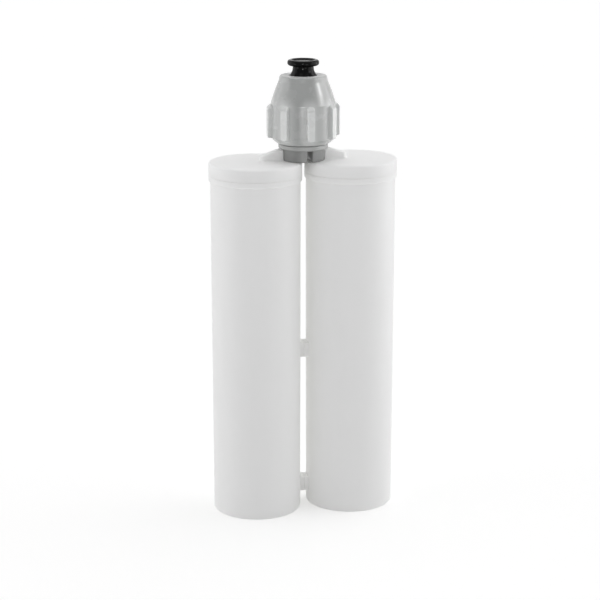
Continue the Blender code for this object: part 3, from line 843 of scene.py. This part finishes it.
# %% Nut mesh
nut_angle = ((np.arange(RIB_COUNT)[:, None] * rib_pitch + across) / NUT_RADIUS).reshape(-1, 1)
nut_aside = np.tile(across, RIB_COUNT)[:, None]
nut_wall, nut_height = nut_profile.T
on_bore = np.abs(nut_wall - NUT_BORE) < HAIRLINE / 2
on_ribs = (nut_wall > NUT_BORE + FIT) & (nut_height < cone_top)
nut_ridge = thread_ridge(nut_angle, nut_height, ridge_from + THREAD_PITCH / 2, nose_top - RIDGE)
nut_rib = np.where(on_ribs, rib_height(nut_aside, nut_height), 0)
nut_radius = nut_wall + nut_rib - np.where(on_bore, nut_ridge, 0)
nut_points = np.stack(
    [
        nut_radius * np.cos(nut_angle),
        nut_radius * np.sin(nut_angle),
        np.broadcast_to(nut_height, nut_radius.shape),
    ],
    axis=-1,
)
nut = grid_mesh("nut", nut_points, ring=True)
print("nut:", len(nut.vertices), "points, ribs reach", round(rib_radius * 1000, 2), "mm")

# %% [markdown]
# The grey plastic lets a little light through. Between the ribs the wall is thin, while the ribs are solid.
# The ribs are painted paler, and the paler paint reaches into the wall beside them: partly the tone of the
# thicker plastic, partly painted light that stands in for the rib highlights and lifts the shade beside the
# ribs. The mesh carries this share at every point: full on a rib, and falling to nothing away from it. The
# finish mixes a paler grey in by it.

# %% Painted light on the ribs
PAINTED_LIGHT_REACH = 0.0044
PAINTED_LIGHT_FADE = 1.3
RIB_PAINTED_LIGHT = (0.66, 0.67, 0.665)

# Share of painted light: full on a rib, and fading over the reach beside it.
rib_light_share = (rib_inset(nut_aside, nut_height) + PAINTED_LIGHT_REACH) / (PAINTED_LIGHT_REACH + RIB_FLANK)
nut_painted_light = np.where(on_ribs, np.clip(rib_light_share, 0, 1) ** PAINTED_LIGHT_FADE, 0)
painted_rib_light = nut.attributes.new("painted_rib_light", "FLOAT", "POINT")
painted_rib_light.data.foreach_set("value", nut_painted_light.ravel().astype(np.float32))


def paint_rib_light(material, shader, colour):
    """Painted light: mixes a paler colour into the base colour by the mesh's painted-light share."""
    nodes = material.node_tree.nodes
    links = material.node_tree.links
    base_colour = shader.inputs["Base Color"].links[0].from_socket
    light_share = nodes.new("ShaderNodeAttribute")
    light_share.attribute_name = "painted_rib_light"
    blend = nodes.new("ShaderNodeMix")
    blend.data_type = "RGBA"
    blend.inputs["B"].default_value = (*colour, 1.0)
    links.new(light_share.outputs["Fac"], blend.inputs["Factor"])
    links.new(base_colour, blend.inputs["A"])
    links.new(blend.outputs["Result"], shader.inputs["Base Color"])


# Painted light on the ribs: a paler grey mixed in by the share, for rib highlights and lifted shade.
paint_rib_light(gloss_grey, grey_shader, RIB_PAINTED_LIGHT)
dress("ribbed_nut", nut, "retaining_nut", gloss_grey)

# %% [markdown]
# ## Closing plug
# The plug's knob stands out of the nut: a rounded disc on a waist that flares to the nut's top. Inside, a
# flange seals the nose and two prongs close the channels. It is turned in one profile, and the prongs are
# joined on.

# %% Plug
FLANGE_RADIUS = 0.0122
FLANGE_THICKNESS = 0.0020
CORE_RADIUS = 0.0082
SHAFT_RADIUS = 0.0065
WAIST_RADIUS = 0.0051
WAIST_HEIGHT = 0.0032
FLARE_HEIGHT = 0.0019
FLARE_PROUD = 0.00025
FLARE_ARC = 0.0035
WAIST_ARC = 0.0060
KNOB_UNDERSIDE = 0.0046
KNOB_RADIUS = 0.0077
KNOB_ROUND = 0.0012
KNOB_FILLET = 0.0005
DISH_RADIUS = 0.0052
DISH_DEPTH = 0.0006
PRONG_RADIUS = 0.0022
PRONG_TIP = 0.0008
PLUG_GRID = 0.0004

flange_foot = nose_top + FIT
flange_top = flange_foot + FLANGE_THICKNESS
prong_root = flange_foot + FLANGE_THICKNESS / 2
knob_top = plug_high.z
plug_profile = rounded(
    [
        (0.0, flange_foot, 0.0),
        (FLANGE_RADIUS, flange_foot, SOFT_EDGE),
        (FLANGE_RADIUS, flange_top, SOFT_EDGE),
        (CORE_RADIUS, flange_top, SOFT_EDGE),
        (CORE_RADIUS, roof - FIT, BLUNT_EDGE),
        (SHAFT_RADIUS, roof - FIT, EDGE),
        (SHAFT_RADIUS, nut_top, EDGE),
        (WAIST_RADIUS + FLARE_PROUD, nut_top + FLARE_HEIGHT, FLARE_ARC),
        (WAIST_RADIUS, nut_top + WAIST_HEIGHT, WAIST_ARC),
        (WAIST_RADIUS, nut_top + KNOB_UNDERSIDE, KNOB_FILLET),
        (KNOB_RADIUS, nut_top + KNOB_UNDERSIDE, KNOB_ROUND),
        (KNOB_RADIUS, knob_top, KNOB_ROUND),
        (DISH_RADIUS + DISH_DEPTH, knob_top, BLUNT_EDGE),
        (DISH_RADIUS, knob_top - DISH_DEPTH, KNOB_FILLET),
        (0.0, knob_top - DISH_DEPTH, 0.0),
    ],
    steps=10,
)
plug = grid_mesh("plug", turned(divided(plug_profile, PLUG_GRID), steps=160))
prong_profile = rounded(
    [
        (0.0, plug_low.z, 0.0),
        (PRONG_RADIUS, plug_low.z, PRONG_TIP),
        (PRONG_RADIUS, prong_root, 0.0),
        (0.0, prong_root, 0.0),
    ]
)
for prong_x in (-CHANNEL_X, CHANNEL_X):
    prong = grid_mesh("prong", turned(prong_profile, steps=64, centre=(prong_x, 0.0)))
    plug = carved(plug, prong, "UNION")
dress("black_plug", plug, "plug", gloss_black)

# %% [markdown]
# ## Pistons, rings and vent pins
# A piston is a cup with a grooved wall, and closes its barrel from below. A round rubber ring sits in the
# groove. A small pin in the middle opens a vent while the piston is pushed in. All three are turned.

# %% Piston
PISTON_WALL = 0.0034
PISTON_FACE = 0.0030
PISTON_ROUND = 0.0008
CUP_EDGE = 0.0005
RING_SECTION = 0.0008
VENT_RADIUS = 0.0020
BOSS_RADIUS = 0.0060
BOSS_LENGTH = 0.0040
POCKET_RADIUS = 0.0035
POCKET_DEPTH = 0.0038
BOSS_FILLET = 0.0006
CUP_FILLET = 0.0008
PISTON_GRID = 0.0010

ring_low, ring_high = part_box("piston_ring_right")
ring_height = (ring_low.z + ring_high.z) / 2
piston_radius = bore_radius - FIT
groove_radius = bore_radius - 2 * FIT - 2 * RING_SECTION
groove_half = RING_SECTION + FIT
cup_radius = piston_radius - PISTON_WALL
ceiling = piston_high.z - PISTON_FACE
piston_profile = rounded(
    [
        (cup_radius, piston_low.z, CUP_EDGE),
        (piston_radius, piston_low.z, CUP_EDGE),
        (piston_radius, ring_height - groove_half, EDGE),
        (groove_radius, ring_height - groove_half, EDGE),
        (groove_radius, ring_height + groove_half, EDGE),
        (piston_radius, ring_height + groove_half, EDGE),
        (piston_radius, piston_high.z, PISTON_ROUND),
        (POCKET_RADIUS, piston_high.z, SOFT_EDGE),
        (POCKET_RADIUS, piston_high.z - POCKET_DEPTH, FINE_EDGE),
        (VENT_RADIUS, piston_high.z - POCKET_DEPTH, FINE_EDGE),
        (VENT_RADIUS, ceiling - BOSS_LENGTH, SOFT_EDGE),
        (BOSS_RADIUS, ceiling - BOSS_LENGTH, BLUNT_EDGE),
        (BOSS_RADIUS, ceiling, BOSS_FILLET),
        (cup_radius, ceiling, CUP_FILLET),
    ],
    closed=True,
)
piston_profile = divided(piston_profile, PISTON_GRID, closed=True)
piston = grid_mesh("piston", turned(piston_profile, steps=160, centre=(axis_x, 0.0)), ring=True)
dress_pair("piston_cup", piston, "piston", natural_plastic)

# %% Piston ring
RING_STEPS = 24

ring_turn = np.linspace(0, 2 * math.pi, RING_STEPS, endpoint=False)
ring_radius = bore_radius - FIT - RING_SECTION
ring_profile = np.column_stack(
    [ring_radius + RING_SECTION * np.cos(ring_turn), ring_height + RING_SECTION * np.sin(ring_turn)]
)
seal_ring = grid_mesh("ring", turned(ring_profile, steps=160, centre=(axis_x, 0.0)), ring=True)
dress_pair("rubber_ring", seal_ring, "piston_ring", seal_rubber)

# %% Vent pin
PIN_HEAD_RADIUS = 0.0032
PIN_HEAD = 0.0012
PIN_COLLAR_RADIUS = 0.0029
PIN_COLLAR = 0.0010
PIN_GRID = 0.0008

pin_low, pin_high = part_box("vent_pin_right")
stem = VENT_RADIUS - FIT
pin_collar_top = pin_low.z + PIN_COLLAR
pin_profile = rounded(
    [
        (0.0, pin_low.z, 0.0),
        (stem, pin_low.z, EDGE),
        (PIN_COLLAR_RADIUS, pin_collar_top, FINE_EDGE),
        (stem, pin_collar_top, FINE_EDGE),
        (stem, pin_high.z - PIN_HEAD, EDGE),
        (PIN_HEAD_RADIUS, pin_high.z - PIN_HEAD, EDGE),
        (PIN_HEAD_RADIUS, pin_high.z, SOFT_EDGE),
        (0.0, pin_high.z, 0.0),
    ],
    steps=4,
)
pin = grid_mesh("pin", turned(divided(pin_profile, PIN_GRID), steps=64, centre=(axis_x, 0.0)))
dress_pair("vent_valve_pin", pin, "vent_pin", natural_plastic)

# %% [markdown]
# ## Port seals
# A flat rubber washer seals each spigot in its socket. Its softened edges come from the same rounded
# profile.

# %% Port seal
seal_low, seal_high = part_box("port_seal_right")
seal_x = (seal_low.x + seal_high.x) / 2
seal_radius = (seal_high.x - seal_low.x) / 2
seal_profile = rounded(
    [
        (CHANNEL_RADIUS, seal_low.z, EDGE),
        (seal_radius, seal_low.z, EDGE),
        (seal_radius, seal_high.z, EDGE),
        (CHANNEL_RADIUS, seal_high.z, EDGE),
    ],
    closed=True,
)
seal = grid_mesh("seal", turned(seal_profile, steps=64, centre=(seal_x, 0.0)), ring=True)
dress_pair("port_washer", seal, "port_seal", seal_rubber)

# %% [markdown]
# ## Camera
# The photograph is taken with a long lens from a little above and to the left. The camera circles a point
# near the middle of the object, at that azimuth and elevation.

# %% Camera
AZIMUTH = math.radians(-12.91)
ELEVATION = math.radians(14.94)
DISTANCE = 0.9058
TARGET = Vector((-0.0016, 0.0, 0.1063))
FRAME_PIXELS = 600
FOCAL_PIXELS = 1820.6
SENSOR_WIDTH = 36.0


def direction_to(azimuth, elevation):
    """Unit vector to a place round the object: azimuth 0 is the front, and it grows to the right."""
    level = math.cos(elevation)
    return Vector((math.sin(azimuth) * level, -math.cos(azimuth) * level, math.sin(elevation)))


camera_data = bpy.data.cameras.new("camera")
camera_data.sensor_width = SENSOR_WIDTH
camera_data.lens = FOCAL_PIXELS * SENSOR_WIDTH / FRAME_PIXELS
camera = bpy.data.objects.new("camera", camera_data)
bpy.context.scene.collection.objects.link(camera)
towards = direction_to(AZIMUTH, ELEVATION)
camera.location = TARGET + towards * DISTANCE
camera.rotation_euler = towards.to_track_quat("Z", "Y").to_euler()
bpy.context.scene.camera = camera
print("camera: lens", round(camera_data.lens, 1), "mm")

# %% [markdown]
# ## Floor
# The object stands on a white table. For diffuse rays the floor is a plain pale surface. Where the camera
# or a reflection sees it, part of it is a steady white, so it reads as a white page but keeps the object's
# shadow.

# %% Floor
FLOOR_SIZE = 12.0
FLOOR_COLOUR = (0.93, 0.93, 0.93)
FLOOR_STEADY = 0.12
FLOOR_WHITE = 2.4


def seen_rays(nodes, links):
    """1 where a camera, glossy or transmission ray looks, else 0."""
    path = nodes.new("ShaderNodeLightPath")
    either = nodes.new("ShaderNodeMath")
    either.operation = "MAXIMUM"
    links.new(path.outputs["Is Camera Ray"], either.inputs[0])
    links.new(path.outputs["Is Glossy Ray"], either.inputs[1])
    any_ray = nodes.new("ShaderNodeMath")
    any_ray.operation = "MAXIMUM"
    links.new(either.outputs[0], any_ray.inputs[0])
    links.new(path.outputs["Is Transmission Ray"], any_ray.inputs[1])
    return any_ray.outputs[0]


floor_mesh = bpy.data.meshes.new("floor")
floor_half = FLOOR_SIZE / 2
floor_corners = np.array([(-1, -1, 0), (1, -1, 0), (1, 1, 0), (-1, 1, 0)]) * floor_half
floor_mesh.from_pydata(floor_corners.tolist(), [], [(0, 1, 2, 3)])
floor = bpy.data.objects.new("floor", floor_mesh)
bpy.context.scene.collection.objects.link(floor)

table_white = bpy.data.materials.new("table_white")
table_white.use_nodes = True
table_nodes = table_white.node_tree.nodes
table_links = table_white.node_tree.links
table_nodes.clear()
matt = table_nodes.new("ShaderNodeBsdfDiffuse")
matt.inputs["Color"].default_value = (*FLOOR_COLOUR, 1.0)
steady = table_nodes.new("ShaderNodeEmission")
steady.inputs["Strength"].default_value = FLOOR_WHITE
share_seen = table_nodes.new("ShaderNodeMath")
share_seen.operation = "MULTIPLY"
share_seen.inputs[1].default_value = FLOOR_STEADY
table_links.new(seen_rays(table_nodes, table_links), share_seen.inputs[0])
mixed = table_nodes.new("ShaderNodeMixShader")
table_links.new(share_seen.outputs[0], mixed.inputs["Fac"])
table_links.new(matt.outputs[0], mixed.inputs[1])
table_links.new(steady.outputs[0], mixed.inputs[2])
table_output = table_nodes.new("ShaderNodeOutputMaterial")
table_links.new(mixed.outputs[0], table_output.inputs["Surface"])
floor_mesh.materials.append(table_white)
print("floor:", FLOOR_SIZE, "m square")

# %% [markdown]
# ## Light
# A white tent surrounds the object. Its left and right walls are the brightest, and the open front, where
# the camera stands, is the darkest, so round things are brighter at their edges than in the middle. The
# light from a direction is side + right * x + slope * y + ends * |y| + top * z. The camera and reflections
# see plain white.

# %% World
WORLD_SIDE = 1.52
WORLD_RIGHT = 0.13
WORLD_SLOPE = 0.24
WORLD_ENDS = -0.94
WORLD_TOP = -0.37
WORLD_SEEN = 1.0

world = bpy.data.worlds.new("white_tent")
bpy.context.scene.world = world
world.use_nodes = True
world_nodes = world.node_tree.nodes
world_links = world.node_tree.links
world_nodes.clear()
sky = world_nodes.new("ShaderNodeTexCoord")
sky_axes = world_nodes.new("ShaderNodeSeparateXYZ")
world_links.new(sky.outputs["Generated"], sky_axes.inputs[0])
endwise = world_nodes.new("ShaderNodeMath")
endwise.operation = "ABSOLUTE"
world_links.new(sky_axes.outputs["Y"], endwise.inputs[0])
world_light = None
for sky_part, factor in (
    (sky_axes.outputs["X"], WORLD_RIGHT),
    (sky_axes.outputs["Y"], WORLD_SLOPE),
    (endwise.outputs[0], WORLD_ENDS),
    (sky_axes.outputs["Z"], WORLD_TOP),
):
    term = world_nodes.new("ShaderNodeMath")
    term.operation = "MULTIPLY_ADD"
    term.inputs[1].default_value = factor
    term.inputs[2].default_value = WORLD_SIDE
    world_links.new(sky_part, term.inputs[0])
    if world_light:
        world_links.new(world_light, term.inputs[2])
    world_light = term.outputs[0]
strength = world_nodes.new("ShaderNodeMix")
strength.data_type = "FLOAT"
strength.inputs["B"].default_value = WORLD_SEEN
world_links.new(seen_rays(world_nodes, world_links), strength.inputs["Factor"])
world_links.new(world_light, strength.inputs["A"])
background = world_nodes.new("ShaderNodeBackground")
background.inputs["Color"].default_value = (1.0, 1.0, 1.0, 1.0)
world_links.new(strength.outputs["Result"], background.inputs["Strength"])
world_output = world_nodes.new("ShaderNodeOutputWorld")
world_links.new(background.outputs[0], world_output.inputs["Surface"])
world_front = WORLD_SIDE - WORLD_SLOPE + WORLD_ENDS
print("world:", WORLD_SIDE, "at the sides,", round(world_front, 3), "at the front")

# %% [markdown]
# Gloss needs something to mirror. Narrow panels stand where the nut's rib faces, its cone and the plug
# reflect the camera's view, and two weak walls lighten the nut's sides. They are reflectors: they show
# only in gloss and give no diffuse light, so the white barrels keep the even light of the tent.

# %% Reflectors
LAMP_AIM = Vector((0.0, 0.0, 0.19))


def gloss_lamp(name, azimuth, elevation, distance, width, height, radiance):
    """A rectangle that faces the nut and shows only in gloss. Its power is radiance * pi * area."""
    data = bpy.data.lights.new(name, "AREA")
    data.shape = "RECTANGLE"
    data.size = width
    data.size_y = height
    data.energy = radiance * math.pi * width * height
    lamp = bpy.data.objects.new(name, data)
    away = direction_to(math.radians(azimuth), math.radians(elevation))
    lamp.location = LAMP_AIM + away * distance
    lamp.rotation_euler = away.to_track_quat("Z", "Y").to_euler()
    lamp.visible_camera = False
    lamp.visible_diffuse = False
    bpy.context.scene.collection.objects.link(lamp)
    print(f"lamp {name}: {data.energy:.1f} W")


gloss_lamp("left_panel", -77, -9, 0.60, 0.20, 0.20, 4.0)
gloss_lamp("front_panel", 13, -9, 0.60, 0.20, 0.20, 4.0)
gloss_lamp("right_panel", 103, -9, 0.60, 0.20, 0.20, 1.2)
gloss_lamp("left_wall", -110, 6, 0.64, 0.60, 0.80, 1.5)
gloss_lamp("right_wall", 76, 6, 0.64, 0.80, 0.80, 3.2)
gloss_lamp("top_panel", 0, 90, 0.60, 0.80, 0.80, 1.2)
gloss_lamp("cone_strip", 63, 26, 0.60, 0.04, 0.07, 80.0)
gloss_lamp("cone_line", -8, 30, 0.90, 0.015, 0.12, 12.0)
gloss_lamp("plug_strip", -16, 3.5, 0.60, 0.04, 0.115, 80.0)

# %% [markdown]
# ## Finish
# Light that scatters in the white plastic and between the barrels needs many bounces, or the gap turns
# grey. Colours are shown as they are, so the view transform is Standard.

# %% Finish
DIFFUSE_BOUNCES = 12
MOST_BOUNCES = 24

bpy.context.scene.cycles.diffuse_bounces = DIFFUSE_BOUNCES
bpy.context.scene.cycles.max_bounces = MOST_BOUNCES
bpy.context.scene.view_settings.view_transform = "Standard"
